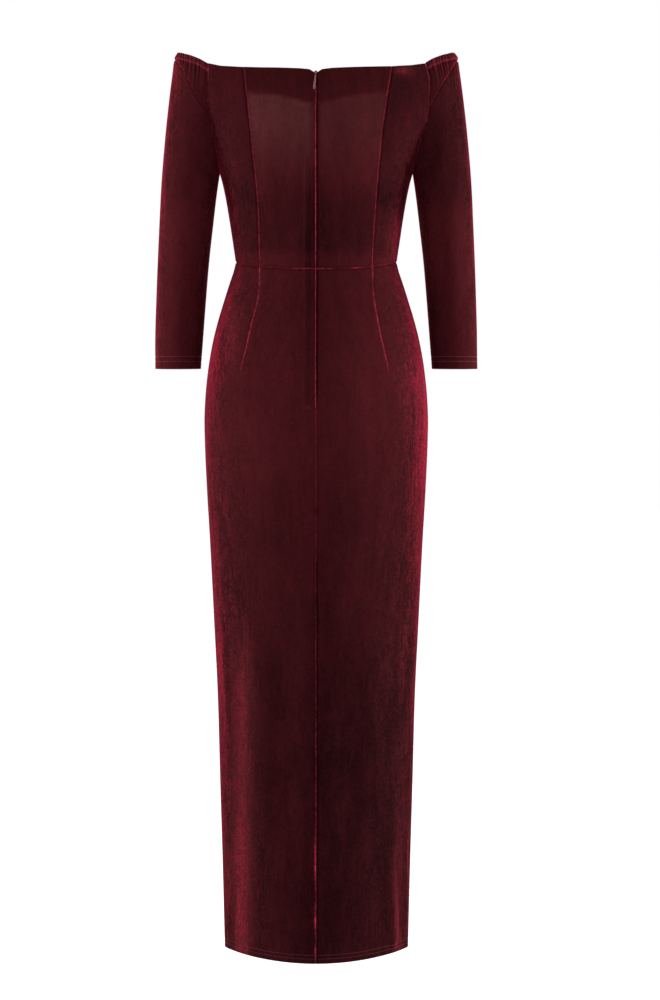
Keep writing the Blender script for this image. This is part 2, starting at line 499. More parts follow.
def shell(name, P, N, edges, extra=None, inner_extra=None, turns=None, soft=1.0, depth=1.0):
    """Closed shell of cloth on the grid P.

    edges: for left, right, bottom, top the depth that the edge rolls in by (None for a
    folded free edge). Outer and inner faces meet in a round fold at every edge. turns: the
    way that an edge is turned in where it isn't the cloth's own normal, one vector for
    each point of that edge.
    """
    R, C = P.shape[:2]
    along_row, along_col = lengths(P, 1), lengths(P, 0)
    e = {"left": along_row, "right": along_row[:, -1:] - along_row,
         "bottom": along_col, "top": along_col[-1:, :] - along_col}
    disp = np.zeros((R, C))
    near = np.full((R, C), 1.0)
    lens = np.zeros((R, C))
    seam = np.zeros((R, C))
    step = np.zeros((R, C))
    shade = np.zeros((R, C))     # the pile parts beside a seam
    rolled = np.zeros((R, C))
    pull_to, pull_w = N * 0.02, np.full((R, C, 1), 0.02)
    r = WALL / 2
    for k, roll in edges.items():
        q = np.clip(e[k] / r, 0, 1)
        lens = np.maximum(lens, r * (1 - np.sqrt(np.maximum(0, 1 - (1 - q) ** 2))))
        near = np.minimum(near, e[k])
        way = N
        if turns and k in turns:
            way = turns[k][:, None, :] if k in ("left", "right") else turns[k][None, :, :]
        if roll is not None:
            weight = np.exp(-((e[k] / 0.0022) ** 2))[..., None] * (3.0 if turns and k in turns else 1.0)
            pull_to = pull_to + way * weight
            pull_w = pull_w + weight
            rolled = np.maximum(rolled, roll * np.exp(-((e[k] / 0.0016) ** 2)))
            bright = 1.0
            if k == "bottom" and turns and "bottom" in turns:     # the waist seam shows in stretches
                x = P[..., 0]
                shown = (bump((0.034 - np.abs(x - 0.004)) / 0.006) + bump((0.012 - np.abs(x + 0.060)) / 0.006)).clip(0, 1)
                bright = 0.34 + 1.3 * shown
            seam = np.maximum(seam, np.exp(-((e[k] / 0.0007) ** 2)) * bright)
            shade = np.maximum(shade, np.exp(-(((e[k] - 0.0024) / 0.0014) ** 2)))
            step = np.maximum(step, 1 - bump((e[k] - 0.0082) / 0.0008))
        else:
            step = np.maximum(step, 1 - bump((e[k] - 0.0100) / 0.0008))
    calm = 1 - np.exp(-((near / 0.020) ** 2))
    disp += 1.5 * depth * crease_height(P) * (1 - 0.75 * np.exp(-((near / 0.006) ** 2)))
    disp += 0.0011 * soft * unevenness(P) * calm
    values = {"seam": seam, "nap": np.zeros((R, C)), "pale": np.zeros((R, C)), "rim": np.ones((R, C))}
    if extra:
        disp += extra(P, e, values)
    values["nap"] = values["nap"] - 0.22 * shade
    inner_in = 0.0006 * step
    if inner_extra:
        inner_in = inner_in + inner_extra(P, e)
    D = pull_to / pull_w
    fold = D * (lens + rolled)[..., None]
    outer = P + N * disp[..., None] - fold
    inner = P + N * (disp - WALL + 2 * lens - inner_in * np.clip(near / 0.0012, 0, 1))[..., None] - fold

    idx_out = np.arange(R * C).reshape(R, C)
    idx_in = idx_out.copy()
    inside = np.zeros((R, C), bool)
    inside[1:-1, 1:-1] = True
    idx_in[inside] = R * C + np.arange(inside.sum())
    verts = np.concatenate([outer.reshape(-1, 3), inner[inside]])

    def quads(idx, flip):
        q = np.stack([idx[:-1, :-1], idx[:-1, 1:], idx[1:, 1:], idx[1:, :-1]], -1).reshape(-1, 4)
        return q[:, ::-1] if flip else q

    m = (R // 2, C // 2)
    turn = np.cross(outer[m[0], m[1] + 1] - outer[m], outer[m[0] + 1, m[1]] - outer[m]) @ N[m]
    out_q, in_q = quads(idx_out, turn < 0), quads(idx_in, turn > 0)
    faces = np.concatenate([out_q, in_q])
    mesh = bpy.data.meshes.new(name)
    mesh.vertices.add(len(verts))
    mesh.vertices.foreach_set("co", verts.astype(np.float32).ravel())
    mesh.loops.add(faces.size)
    mesh.loops.foreach_set("vertex_index", faces.astype(np.int32).ravel())
    mesh.polygons.add(len(faces))
    mesh.polygons.foreach_set("loop_start", np.arange(0, faces.size, 4, dtype=np.int32))
    mesh.polygons.foreach_set("loop_total", np.full(len(faces), 4, np.int32))
    mesh.polygons.foreach_set("material_index",
                              np.concatenate([np.zeros(len(out_q)), np.ones(len(in_q))]).astype(np.int32))
    mesh.update(calc_edges=True)
    mesh.validate()
    mesh.shade_smooth()
    for key in ATTRS:
        a = mesh.attributes.new(key, "FLOAT", "POINT")
        v = values[key]
        a.data.foreach_set("value", np.concatenate([v.ravel(), v[inside]]).astype(np.float32))
    obj = bpy.data.objects.new(name, mesh)
    scene.collection.objects.link(obj)
    area = float(np.linalg.norm(np.cross(P[1:, :-1] - P[:-1, :-1], P[:-1, 1:] - P[:-1, :-1]), axis=-1).sum() / 2
                 + np.linalg.norm(np.cross(P[1:, :-1] - P[1:, 1:], P[:-1, 1:] - P[1:, 1:]), axis=-1).sum() / 2)
    return obj, outer, e, area


# ------------------------------------------------------------------ how the nap lies
def nap_of(P, side_zone=True):
    """Where the pile is brushed lighter (positive) or darker (negative)."""
    x, y, z = P[..., 0], P[..., 1], P[..., 2]
    g = lambda cx, cz, wx, wz: np.exp(-(((x - cx) / wx) ** 2) - (((z - cz) / wz) ** 2))
    back = bump((y + 0.02) / 0.03)
    n = -0.26 * bump((-0.26 - z) / 0.16) - 0.30 * bump((-0.46 - z) / 0.26)
    n = n - 0.36 * bump(z / 0.02) * bump((0.130 - z) / 0.06)
    n = n - 0.12 * bump((0.004 - x) / 0.010) * bump((-0.20 - z) / 0.10)
    n = n + back * (0.22 * g(0.042, -0.165, 0.032, 0.060) + 0.12 * g(-0.058, -0.170, 0.030, 0.055)
                    + 0.10 * g(0.060, -0.050, 0.040, 0.060) - 0.22 * g(0.010, -0.030, 0.010, 0.100)
                    - 0.16 * g(-0.040, 0.040, 0.050, 0.050))
    n = n + back * 1.0 * np.exp(-(((x - 0.110) / 0.017) ** 2)) * bump((-0.50 - z) / 0.14)
    n = n + back * 0.25 * np.exp(-(((x - 0.112) / 0.018) ** 2)) * bump((-0.78 - z) / 0.10)
    n = n + back * (0.40 * g(0.120, -0.125, 0.013, 0.055) + 0.26 * g(-0.126, -0.150, 0.011, 0.060))
    n = n + back * 0.35 * np.exp(-(((x + 0.124) / 0.010) ** 2)) * bump((-0.62 - z) / 0.16)
    n = n + back * 0.45 * np.exp(-(((x + 0.122) / 0.008) ** 2)) * bump((-0.84 - z) / 0.06)
    n = n + (1 - back) * (0.25 * g(0.05, 0.172, 0.05, 0.05) + 0.25 * g(-0.05, 0.172, 0.05, 0.05)
                          + 0.30 * g(0.0, -0.12, 0.06, 0.09) + 0.25 * g(0.05, -0.60, 0.03, 0.22))
    return n


def side_shade(P, side, amount):
    """The pile lies the darker way on the side panels and upper sleeves."""
    return amount * bump((P[..., 2] - 0.06) / 0.04)


def rim_of(P):
    """How strongly the grazing light takes in the pile: the right hip most."""
    x, y, z = P[..., 0], P[..., 1], P[..., 2]
    g = lambda cz, wz: np.exp(-(((z - cz) / wz) ** 2))
    right = 0.58 + 0.60 * g(-0.22, 0.17) + 0.20 * g(-0.50, 0.14) + 0.30 * g(0.03, 0.05)
    left = 0.66 + 0.52 * g(-0.13, 0.12) + 0.34 * g(-0.58, 0.20) + 0.20 * g(-0.90, 0.14)
    return np.where(x < 0, right, left)


# ------------------------------------------------------------------ panels
BODICE_H = spaced(ARMHOLE_TOP_Z, SEWN, FREE, 0.0048, keep=(UNDERARM_Z, UNDERARM_Z - 0.002, UNDERARM_Z + 0.002))
BODICE_V = BODICE_H.copy()
BODICE_V[0] = -0.0004


def bodice_grid(side, left, right, shares):
    fr = shares.copy()
    width = 0.10
    fr[0] -= 0.00012 / width
    fr[-1] += 0.00012 / width
    Fr, V = np.meshgrid(fr, BODICE_V)
    top = np.full(fr.shape, 0.278)
    for _ in range(12):
        at = np.minimum(top, ARMHOLE_TOP_Z)
        s = left(at) + fr * (right(at) - left(at))
        top = neck_z(side, s, at)
    z = np.full(Fr.shape, 0.15)
    for _ in range(10):
        s = left(z) + Fr * (right(z) - left(z))
        z = waist_z(s) + V * (top[None, :] - waist_z(s))
    s = left(z) + Fr * (right(z) - left(z))
    return body_point(side, s, z, "bodice")


def princess(side):
    return lambda z: angle_at(side, PRINCESS[side](z), z, "bodice")


FACING = {1: Curve([(0.0, 0.2222), (0.010, 0.2240), (0.044, 0.2325), (0.092, 0.2392)]),
          -1: Curve([(0.0, 0.2222), (0.012, 0.2240), (0.049, 0.2330), (0.100, 0.2392)])}


def centre_back_detail(side, part):
    def detail(P, e, values):
        x, z = np.abs(P[..., 0]), P[..., 2]
        R = x.shape
        d = np.zeros(R)
        ec = e["left"]
        zipped = bump((z - ZIP_END_Z + 0.004) / 0.008)
        if side > 0:      # the near lip rides up over the coil
            d += zipped * 0.0011 * np.exp(-(((ec - 0.0016) / 0.0016) ** 2))
            d += zipped * 0.0005 * bump((0.017 - ec) / 0.002)
        else:             # the far lip lies under it
            d -= zipped * 0.0007 * np.exp(-((ec / 0.0024) ** 2))
            d += zipped * 0.0003 * bump((0.013 - ec) / 0.002)
        low = 1 - 0.25 * bump((ZIP_END_Z - z) / 0.02) * bump((z + 0.60) / 0.10) * bump((0.004 - ec) / 0.001)
        values["seam"] *= low * (1 + 0.25 * zipped * bump((0.003 - ec) / 0.001))
        if part == "bodice":
            values["nap"] -= (0.26 if side > 0 else 0.10) * bump((0.150 - z) / 0.03) * bump((0.0168 - ec) / 0.0030)
            edge = FACING[side](x)
            over = bump((z - edge) / 0.0022)
            d += 0.0005 * over * bump(e["top"] / 0.004)
            d += 0.0004 * np.exp(-(((z - edge) / 0.0022) ** 2))
            values["nap"] += 0.08 * np.exp(-(((z - edge + 0.001) / 0.0018) ** 2))
            inside = bump(ec / 0.012) * bump((e["right"] + 0.004) / 0.010)
            fade = bump((edge - z) / 0.004) * np.exp(-np.maximum(0, (edge - 0.03 - z)) ** 2 / 0.055**2)
            values["pale"] += (1.0 if side > 0 else 0.45) * inside * fade
            values["nap"] -= 0.22 * over
        else:
            # zip tape's edge and its end
            values["nap"] -= (0.17 if side > 0 else 0.06) * zipped * bump((0.0168 - ec) / 0.0028)
        if side > 0:
            run = zipped * bump((0.146 - z) / 0.01)
            for at, h in ((0.0168, 0.0004), (0.0052, 0.0003)):
                ridge = np.exp(-(((ec - at) / 0.0011) ** 2)) * run
                d += h * ridge
                values["nap"] += 0.16 * ridge
            values["nap"] += 0.55 * np.exp(-(((ec - 0.0105) / 0.0034) ** 2) - (((z - ZIP_END_Z) / 0.0018) ** 2))
            d += 0.0006 * np.exp(-(((ec - 0.0105) / 0.0040) ** 2) - (((z - ZIP_END_Z) / 0.0022) ** 2))
        else:
            # the shaded side of the seam's step
            shade = zipped * np.exp(-(((ec - 0.0018) / 0.0012) ** 2))
            values["nap"] -= 0.9 * shade * bump((z - ZIP_END_Z) / 0.03)
        # pressed flat where the pull hangs
        hush = bump((z - 0.214) / 0.010) * bump((0.0125 - ec) / 0.004) * (part == "bodice")
        d = d * (1 - hush) - 0.0001 * hush * bump(e["top"] / 0.002)
        return d
    return detail


def add_nap(P, values):
    values["nap"] += nap_of(P)
    values["rim"] = rim_of(P)


ZIP_NEAR = sorted(set(SEWN + [0.0012, 0.0016, 0.0020, 0.0024, 0.0030, 0.0042, 0.0052, 0.0062, 0.0072,
                              0.0105, 0.0125, 0.0145, 0.0157, 0.0168, 0.0179, 0.0190]))
CLOTH = {}
PATHS = {}
SIDES = ((1, "left"), (-1, "right"))

for sd, word in SIDES:
    shares = spaced(0.088, ZIP_NEAR, SEWN, 0.0045)
    P = bodice_grid(sd, lambda z: 0.0 * z, princess(sd), shares)
    N = grid_normals(P, np.zeros(3))

    def extra(P, e, values, sd=sd):
        add_nap(P, values)
        return centre_back_detail(sd, "bodice")(P, e, values)

    CLOTH["bodice_back_center_" + word] = shell(
        "bodice_back_center_" + word, P, N, {"left": 0.0006, "right": 0.0010, "bottom": 0.0010, "top": None},
        extra, lambda P, e, sd=sd: 0.0006 * bump((P[..., 2] - FACING[sd](np.abs(P[..., 0]))) / 0.001),
        {"bottom": waist_turns(P[0])})

    shares = spaced(0.062, SEWN, SEWN, 0.0045)
    P = bodice_grid(sd, princess(sd), lambda z, sd=sd: armhole_angle(sd, False, z), shares)
    N = grid_normals(P, np.zeros(3))

    def extra(P, e, values, sd=sd):
        add_nap(P, values)
        x, z = P[..., 0], P[..., 2]
        values["nap"] -= side_shade(P, sd, 0.24 if sd > 0 else 0.48)
        if sd < 0:
            values["nap"] += 0.95 * np.exp(-(((x + 0.116) / 0.010) ** 2) - (((z - 0.028) / 0.028) ** 2))
            values["nap"] += 1.15 * np.exp(-(((x + 0.126) / 0.016) ** 2) - (((z - 0.271) / 0.0080) ** 2))
            values["nap"] += 0.25 * np.exp(-(((x + 0.130) / 0.016) ** 2) - (((z - 0.200) / 0.050) ** 2))
        else:
            values["nap"] += 0.22 * np.exp(-(((x - 0.122) / 0.010) ** 2) - (((z - 0.016) / 0.020) ** 2))
            values["nap"] += 0.20 * np.exp(-(((x - 0.118) / 0.012) ** 2) - (((z - 0.240) / 0.040) ** 2))
        return 0.0

    CLOTH["bodice_back_side_" + word] = shell(
        "bodice_back_side_" + word, P, N, {"left": 0.0010, "right": 0.0010, "bottom": 0.0010, "top": None}, extra,
        None, {"bottom": waist_turns(P[0]), "right": armhole_turn(sd, False, P[:, -1, 2], N[:, -1])})

# front of the bodice, one panel with two waist darts
BUST_DART = Curve([(-0.020, 0.060), (0.060, 0.064), (0.128, 0.070)])


DART_NEAR = [0, 0.0006, 0.0012, 0.0020, 0.0032, 0.0050]


def dart_profile(P, from_dart, lo, hi, depth, values, amount=1.0):
    """A stitched dart: a fine line where the cloth turns in on both sides."""
    z = P[..., 2]
    live = bump((z - lo) / 0.030) * bump((hi - z) / 0.030)
    values["seam"] = np.maximum(values["seam"], amount * live * np.exp(-((from_dart / 0.0010) ** 2)))
    return -depth * live * np.exp(-((from_dart / 0.0016) ** 2))


def from_columns(P, columns):
    arc = lengths(P, 1)
    return np.min([np.abs(arc - arc[:, c:c + 1]) for c in columns], axis=0)


def bust_dart_angle(side):
    return lambda z: angle_at(side, BUST_DART(np.clip(z, -0.020, 0.128)), z, "bodice", True)


grids = []
for sd in (1, -1):
    to_dart = spaced(0.130, SEWN, DART_NEAR, 0.0046)
    to_center = spaced(0.075, DART_NEAR, [0.0], 0.0046)
    Pa = bodice_grid(sd, lambda z, sd=sd: armhole_angle(sd, True, z), bust_dart_angle(sd), to_dart)
    Pb = bodice_grid(sd, bust_dart_angle(sd), lambda z: math.pi + 0.0 * z, to_center)
    grids.append(np.concatenate([Pa, Pb[:, 1:]], axis=1))
grids[0][:, -1, 0] = 0.0
P = np.concatenate([grids[0], grids[1][:, -2::-1]], axis=1)
BUST_COLUMNS = (len(to_dart) - 1, P.shape[1] - len(to_dart))
N = grid_normals(P, np.zeros(3))
from_bust_dart = from_columns(P, BUST_COLUMNS)


def front_extra(P, e, values):
    add_nap(P, values)
    return dart_profile(P, from_bust_dart, -0.050, 0.128, 0.0008, values, 0.8)


CLOTH["bodice_front"] = shell(
    "bodice_front", P, N, {"left": 0.0010, "right": 0.0010, "bottom": 0.0010, "top": None}, front_extra,
    lambda P, e: 0.0006 * bump((0.040 - e["top"]) / 0.001),
    {"bottom": waist_turns(P[0]), "left": armhole_turn(1, True, P[:, 0, 2], N[:, 0]),
     "right": armhole_turn(-1, True, P[:, -1, 2], N[:, -1])})

# ------------------------------------------------------------------ skirt
HEM_NEAR = sorted(set(FREE + [0.0066, 0.0072, 0.0078, 0.0084, 0.0122, 0.0128, 0.0134, 0.0141, 0.0150, 0.0160]))
SKIRT_V = spaced(1.016, SEWN, HEM_NEAR, 0.0062, keep=(0.1454, 0.1500, 0.2000, 0.1985, 0.2015))
SKIRT_V[0] = -0.00012


def dart_angle(side):
    def at(z):
        zc = np.maximum(z, DART_END[side])
        return angle_at(side, DART[side](np.minimum(zc, -0.0090)), zc, "skirt")
    return at


HEM_ROWS = (0.0072, 0.0128)


def hem_detail(P, e):
    d = 0.0
    for at in HEM_ROWS:
        d = d - 0.00035 * np.exp(-(((e["top"] - at) / 0.0009) ** 2))
    return d


# skirt rows run down, so its "top" edge is the hem
for sd, word in SIDES:
    fa = spaced(0.086, ZIP_NEAR, [0, 0.0006, 0.0012, 0.0020, 0.0032, 0.0050], 0.0046)
    fb = spaced(0.090, [0, 0.0006, 0.0012, 0.0020, 0.0032, 0.0050], SEWN, 0.0046)
    u = np.concatenate([fa, 1 + fb[1:]])
    u[0] -= 0.00012 / 0.086
    u[-1] += 0.00012 / 0.090
    U, V = np.meshgrid(u, SKIRT_V)
    z = waist_z(U * 0.8) + V * (HEM_Z - waist_z(U * 0.8))
    mid = dart_angle(sd)
    for _ in range(6):
        # the dart's angle depends only on the height: read it from a table
        tz = np.linspace(-1.03, 0.004, 420)
        ta = mid(tz)
        a = np.interp(z, tz, ta)
        s = np.where(U <= 1, U * a, a + (U - 1) * (math.pi / 2 - a))
        z = waist_z(s) + V * (HEM_Z - waist_z(s))
    P = body_point(sd, s, z, "skirt")
    N = grid_normals(P, np.zeros(3))
    live = bump((z - DART_END[sd] + 0.012) / 0.030)
    col = int(np.argmin(np.abs(u - 1.0)))
    from_dart = np.abs(lengths(P, 1) - lengths(P, 1)[:, col:col + 1])

    def extra(P, e, values, sd=sd, live=live, from_dart=from_dart):
        add_nap(P, values)
        values["seam"] = np.maximum(values["seam"], (0.80 if sd > 0 else 0.55) * live * np.exp(-((from_dart / 0.0010) ** 2)))
        x, z = P[..., 0], P[..., 2]
        # the centre seam is faint below the zip, clear again near the hem
        faint = 1 - 0.40 * np.exp(-(((z + 0.33) / 0.10) ** 2)) - 0.30 * bump((-0.40 - z) / 0.1) * bump((z + 0.66) / 0.1)
        nearc = np.exp(-((e["left"] / 0.004) ** 2))
        values["seam"] *= 1 - nearc * (1 - np.clip(faint, 0.1, 1))
        d = centre_back_detail(sd, "skirt")(P, e, values)
        if sd > 0:        # the seam rolls open a little towards the hem
            for zr, h in ((-0.875, 0.030), (-0.955, 0.022), (-1.008, 0.012)):
                roll = np.exp(-(((z - zr) / h) ** 2)) * np.exp(-((e["left"] / 0.0019) ** 2))
                values["seam"] = np.maximum(values["seam"], 1.7 * roll)
                d = d + 0.0005 * roll
        else:
            values["nap"] -= 0.55 * bump((-0.40 - z) / 0.06) * np.exp(-(((e["left"] - 0.0016) / 0.0013) ** 2))
        d -= 0.0008 * live * np.exp(-((from_dart / 0.0016) ** 2))
        return d + hem_detail(P, e)

    CLOTH["skirt_back_" + word] = shell(
        "skirt_back_" + word, P, N, {"left": 0.0006, "right": 0.0010, "bottom": 0.0010, "top": None}, extra,
        lambda P, e: 0.0006 * bump((0.0155 - e["top"]) / 0.0008), {"bottom": waist_turns(P[0])})

FRONT_DART = Curve([(-0.110, 0.078), (-0.060, 0.066), (0.004, 0.060)])
FRONT_DART_END = -0.110
to_dart = spaced(0.135, SEWN, DART_NEAR, 0.0047)
to_center = spaced(0.080, DART_NEAR, [0.0], 0.0047)
u = np.concatenate([to_dart, 1 + to_center[1:]])
u[0] -= 0.00012 / 0.135
grids = []
for sd in (1, -1):
    U, V = np.meshgrid(u, SKIRT_V)
    s = math.pi / 2 + U / 2 * math.pi / 2
    tz = np.linspace(-1.03, 0.004, 420)
    zc = np.maximum(tz, FRONT_DART_END)
    ta = angle_at(sd, FRONT_DART(zc), zc, "skirt", True)
    for _ in range(6):
        z = waist_z(s) + V * (HEM_Z - waist_z(s))
        a = np.interp(z, tz, ta)
        s = np.where(U <= 1, math.pi / 2 + U * (a - math.pi / 2), a + (U - 1) * (math.pi - a))
    z = waist_z(s) + V * (HEM_Z - waist_z(s))
    grids.append(body_point(sd, s, z, "skirt"))
grids[0][:, -1, 0] = 0.0
P = np.concatenate([grids[0], grids[1][:, -2::-1]], axis=1)
from_front_dart = from_columns(P, (len(to_dart) - 1, P.shape[1] - len(to_dart)))
N = grid_normals(P, np.zeros(3))


def skirt_front_extra(P, e, values):
    add_nap(P, values)
    d = dart_profile(P, from_front_dart, FRONT_DART_END - 0.012, 0.040, 0.0007, values, 0.7)
    return d + hem_detail(P, e)


CLOTH["skirt_front"] = shell(
    "skirt_front", P, N, {"left": 0.0010, "right": 0.0010, "bottom": 0.0010, "top": None}, skirt_front_extra,
    lambda P, e: 0.0006 * bump((0.0155 - e["top"]) / 0.0008), {"bottom": waist_turns(P[0])})


# ------------------------------------------------------------------ sleeves and shoulder bands
def seam_line(side, u, height_at):
    z = np.full(np.shape(u), 0.25)
    for _ in range(60):
        x = np.abs(sleeve_point(side, u * cut_angle(side, z), z)[..., 0])
        z = z + 0.3 * (height_at(x) - z)
    return z


def band_seam(side, u):
    x0, z0 = BAND_FROM[side]
    k = 0.0025

    def height(x):
        line = z0 + (x - x0) * BAND_SLOPE[side]
        return -k * np.log(np.exp(-np.minimum(line, 1.0) / k) + math.exp(-BAND_SEAM_TOP / k))

    uc = np.clip(np.abs(u), 0, 1)
    z = seam_line(side, uc, height)
    t = bump((uc - 0.985) / 0.015)
    return z * (1 - t) + z0 * t


def band_top(side, u):
    uc = np.clip(np.abs(u), 0, 1)
    z = seam_line(side, uc, BAND_NECK)
    t = bump((uc - 0.985) / 0.015)
    return z * (1 - t) + ARMHOLE_TOP_Z * t


CUFF_ROWS = (0.0110, 0.0180)
CUFF_NEAR = sorted(set(FREE + [0.0105, 0.0110, 0.0116, 0.0125, 0.0140, 0.0155, 0.0168, 0.0174, 0.0180,
                               0.0186, 0.0194, 0.0205, 0.0215]))
near_seam = [e / 0.128 for e in SEWN]
BAND_D = {}

for sd, word in SIDES:
    u = np.concatenate([-1 + np.array(near_seam), np.linspace(-1 + 0.0125 / 0.128 + 0.01, 1 - 0.0125 / 0.128 - 0.01, 46),
                        (1 - np.array(near_seam))[::-1]])
    u[0], u[-1] = -1.0008, 1.0008
    low = CUFF_Z + spaced(UNDERARM_Z - CUFF_Z, CUFF_NEAR, [0.0, 0.002], 0.0050) * (UNDERARM_Z - CUFF_Z)
    up = spaced(0.120, [0.0, 0.002], SEWN, 0.0046)[1:]
    up[-1] += 0.001
    top = band_seam(sd, u)
    Z = np.concatenate([np.repeat(low[:, None], len(u), 1),
                        UNDERARM_Z + up[:, None] * (top[None, :] - UNDERARM_Z)])
    U = np.repeat(u[None, :], len(Z), 0)
    P = sleeve_point(sd, U * cut_angle(sd, Z), Z)
    axis = np.stack([sd * sleeve_oval(Z)[0], sleeve_oval(Z)[2], Z], -1)
    N = grid_normals(P, axis)

    def extra(P, e, values, sd=sd):
        add_nap(P, values)
        values["rim"] = values["rim"] * 0 + (0.80 if sd > 0 else 0.55)
        values["nap"] -= side_shade(P, sd, 0.22 if sd > 0 else 0.38)
        z = P[..., 2]
        d = 0.0
        for at in CUFF_ROWS:
            d = d - 0.0004 * np.exp(-(((e["bottom"] - at) / 0.0009) ** 2))
        x = np.abs(P[..., 0])
        values["nap"] += (0.16 if sd > 0 else 0.08) * np.exp(-(((x - 0.200) / 0.022) ** 2) - (((z - (0.045 if sd > 0 else 0.01)) / 0.060) ** 2))
        values["nap"] += 0.36 * bump(z / 0.02) * bump((0.130 - z) / 0.06)
        values["nap"] += (0.12 if sd > 0 else 0.0) - 0.05 * (sd < 0) * bump((z - 0.08) / 0.06) - 0.12 * (sd < 0) * bump((-0.02 - z) / 0.04)
        # drawn up a little below the shoulder band
        arc = lengths(P, 1)
        pull = np.exp(-((e["top"] / 0.016) ** 2)) * bump(e["top"] / 0.003)
        d = d + 0.00035 * pull * np.sin(arc / 0.0095 * 2 * math.pi + 1.3 * np.sin(arc * 140))
        return d

    CLOTH["sleeve_" + word] = shell(
        "sleeve_" + word, P, N, {"left": 0.0008, "right": 0.0008, "bottom": None, "top": 0.0010}, extra,
        lambda P, e: 0.0006 * bump((0.0205 - e["bottom"]) / 0.0008),
        {"left": armhole_turn(sd, True, P[:, 0, 2], N[:, 0]), "right": armhole_turn(sd, False, P[:, -1, 2], N[:, -1])})

    # shoulder band: elastic drawn through the neck edge
    nb = 150
    edge = [e / 0.075 for e in SEWN]
    u = np.concatenate([-1 + np.array(edge), np.linspace(-1 + 0.14, 1 - 0.14, nb), (1 - np.array(edge))[::-1]])
    u[0], u[-1] = -1.001, 1.001
    vb = spaced(0.050, SEWN, FREE, 0.0022)
    vb[0] -= 0.002
    low, top = band_seam(sd, u), band_top(sd, u)
    Z = low[None, :] + vb[:, None] * (top - low)[None, :]
    U = np.repeat(u[None, :], len(Z), 0)
    P = sleeve_point(sd, U * cut_angle(sd, Z), Z)
    axis = np.stack([sd * sleeve_oval(Z)[0], sleeve_oval(Z)[2], Z], -1)
    N = grid_normals(P, axis)

    def extra(P, e, values, sd=sd, U=U):
        add_nap(P, values)
        values["rim"] = values["rim"] * 0 + 0.9
        values["nap"] -= side_shade(P, sd, 0.20 if sd > 0 else 0.36)
        arc = lengths(P, 1)[-1][None, :] + 0 * U
        jitter = 1.1 * np.sin(arc * 210 + 1.0 * sd) + 0.7 * np.sin(arc * 470)
        ph = arc / 0.0064 * 2 * math.pi + jitter
        strength = 0.75 + 0.25 * np.sin(arc * 330 + 2)
        casing = bump((0.0105 - e["top"]) / 0.0030)
        reach = 0.012 + 0.014 * bump((np.abs(U) - 0.45) / 0.4)
        below = (1 - casing) * np.exp(-((np.maximum(e["top"] - 0.0095, 0) / reach) ** 2))
        calm = bump(e["left"] / 0.004) * bump(e["right"] / 0.004) * bump(e["bottom"] / 0.006)
        d = calm * strength * (0.00085 * casing + 0.00105 * below) * np.sin(ph)
        d -= 0.0011 * np.exp(-(((e["top"] - 0.0095) / 0.0011) ** 2)) * bump(e["left"] / 0.002) * bump(e["right"] / 0.002)
        d += 0.0006 * casing
        values["seam"] = np.maximum(values["seam"], 0.55 * np.exp(-(((e["top"] - 0.0095) / 0.0009) ** 2)))
        values["nap"] += (0.70 * np.sin(ph) - 0.15) * (casing + below) * calm * strength + 0.40 * casing
        return d

    CLOTH["shoulder_band_" + word] = shell(
        "shoulder_band_" + word, P, N, {"left": 0.0010, "right": 0.0010, "bottom": 0.0010, "top": None}, extra, None,
        {"left": armhole_turn(sd, True, P[:, 0, 2], N[:, 0]), "right": armhole_turn(sd, False, P[:, -1, 2], N[:, -1])},
        soft=0.3)


# ------------------------------------------------------------------ stitches
def stitches(name, runs, pitch=0.0031, length=0.0026, radius=0.00030, lift=0.00015):
    """Small thread bars along each run of points; one joined mesh."""
    ring, prof = 6, [(-0.5, 0.0), (-0.42, 0.75), (0.0, 1.0), (0.42, 0.75), (0.5, 0.0)]
    V, Fs = [], []
    for pts, nrm in runs:
        seg = np.linalg.norm(np.diff(pts, axis=0), axis=1)
        s = np.concatenate([[0], np.cumsum(seg)])
        n = int(s[-1] / pitch)
        mid = (np.arange(n) + 0.5) * s[-1] / n
        at = lambda q, A: np.stack([np.interp(q, s, A[:, k]) for k in range(3)], -1)
        c = at(mid, pts)
        t = at(mid + length / 2, pts) - at(mid - length / 2, pts)
        t /= np.linalg.norm(t, axis=1, keepdims=True)
        nn = at(mid, nrm)
        nn /= np.linalg.norm(nn, axis=1, keepdims=True)
        b = np.cross(t, nn)
        for k in range(n):
            base = len(V)
            cc = c[k] + nn[k] * lift
            V.append(cc + t[k] * prof[0][0] * length - nn[k] * radius)
            for q, w in prof[1:-1]:
                for j in range(ring):
                    a = 2 * math.pi * j / ring
                    sag = (1 - (2 * q) ** 2) * 0.0 - (abs(q) / 0.5) ** 3 * radius
                    V.append(cc + t[k] * q * length + (nn[k] * math.cos(a) + b[k] * math.sin(a)) * radius * w
                             + nn[k] * sag)
            V.append(cc + t[k] * prof[-1][0] * length - nn[k] * radius)
            last = len(V) - 1
            for j in range(ring):
                j2 = (j + 1) % ring
                Fs.append((base, base + 1 + j2, base + 1 + j))
                Fs.append((last, last - ring + j, last - ring + j2))
                for r in range(2):
                    o = base + 1 + r * ring
                    Fs.append((o + j, o + j2, o + ring + j2, o + ring + j))
    mesh = bpy.data.meshes.new(name)
    mesh.from_pydata([tuple(v) for v in V], [], Fs)
    mesh.validate()
    bm = bmesh.new()
    bm.from_mesh(mesh)
    bmesh.ops.recalc_face_normals(bm, faces=bm.faces[:])
    bm.to_mesh(mesh)
    bm.free()
    mesh.shade_smooth()
    obj = bpy.data.objects.new(name, mesh)
    scene.collection.objects.link(obj)
    return obj


